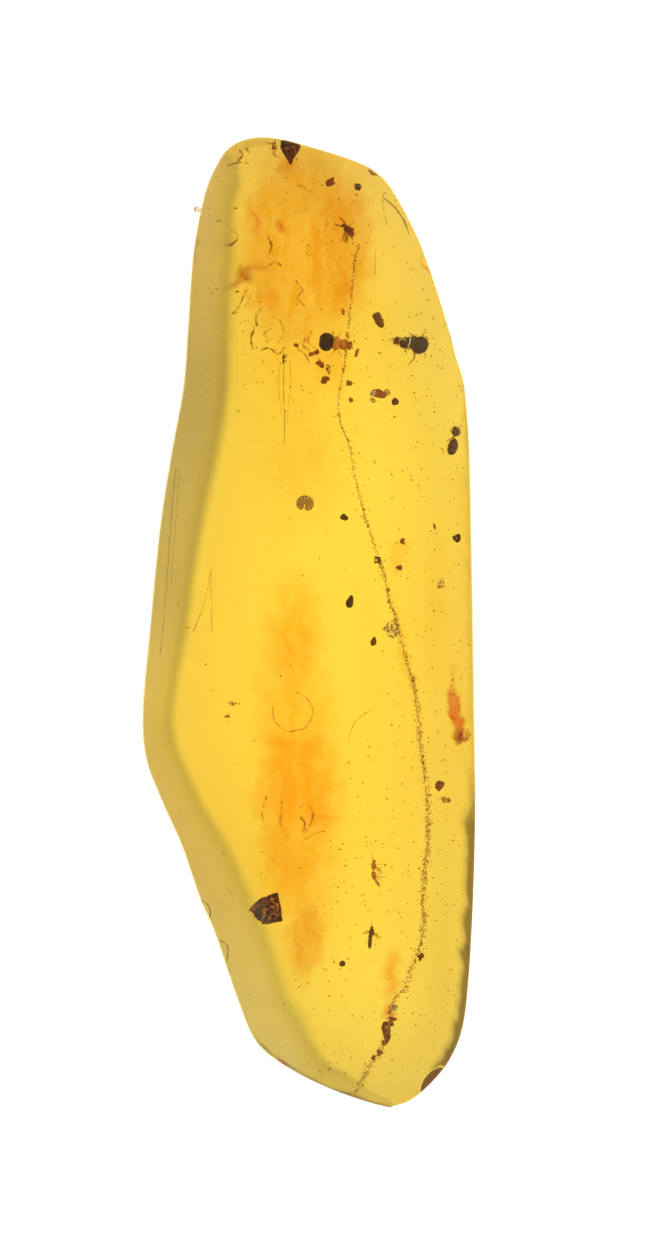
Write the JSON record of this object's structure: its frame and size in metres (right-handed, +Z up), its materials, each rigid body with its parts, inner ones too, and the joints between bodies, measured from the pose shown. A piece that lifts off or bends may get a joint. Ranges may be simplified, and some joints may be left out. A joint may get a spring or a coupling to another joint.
{
  "type": "insect in amber",
  "caption": "Long free-form stone of clear polished yellow amber, lying on its flat back, with small insects, a curled larva, bark and dark pellets sealed in it.",
  "frame": {"origin": "middle of the stone's plan, at the height of its flat back, which is the surface it lies on", "axes": "+Y along the stone to its blunt end, +Z up out of the polished face, +X to the right when the face is looked at with the blunt end up"},
  "size_m": [0.0145, 0.042, 0.0074],
  "materials": {
    "clear_amber": "polished clear amber",
    "chitin": "glossy dark brown insect shell",
    "larva_skin": "matte grey-brown larva skin",
    "bark": "rough dark bark",
    "dark_resin": "glossy dark red resin",
    "pellet": "matte dark brown"
  },
  "bodies": {
    "root": {"amber_front_half": "clear_amber", "amber_back_half": "clear_amber", "beetle": "chitin", "fly": "chitin", "ant": "chitin", "gnat": "chitin", "slender_wasp": "chitin", "midge": "chitin", "curled_larva": "larva_skin", "bark_chip": "bark", "bark_wedge": "bark", "upper_resin_drop": "dark_resin", "lower_resin_drop": "dark_resin", "dark_pellet_1": "pellet", "dark_pellet_2": "pellet", "dark_pellet_3": "pellet", "dark_pellet_4": "pellet", "dark_pellet_5": "pellet", "dark_pellet_6": "pellet", "dark_pellet_7": "pellet", "dark_pellet_8": "pellet"}
  },
  "joints": []
}
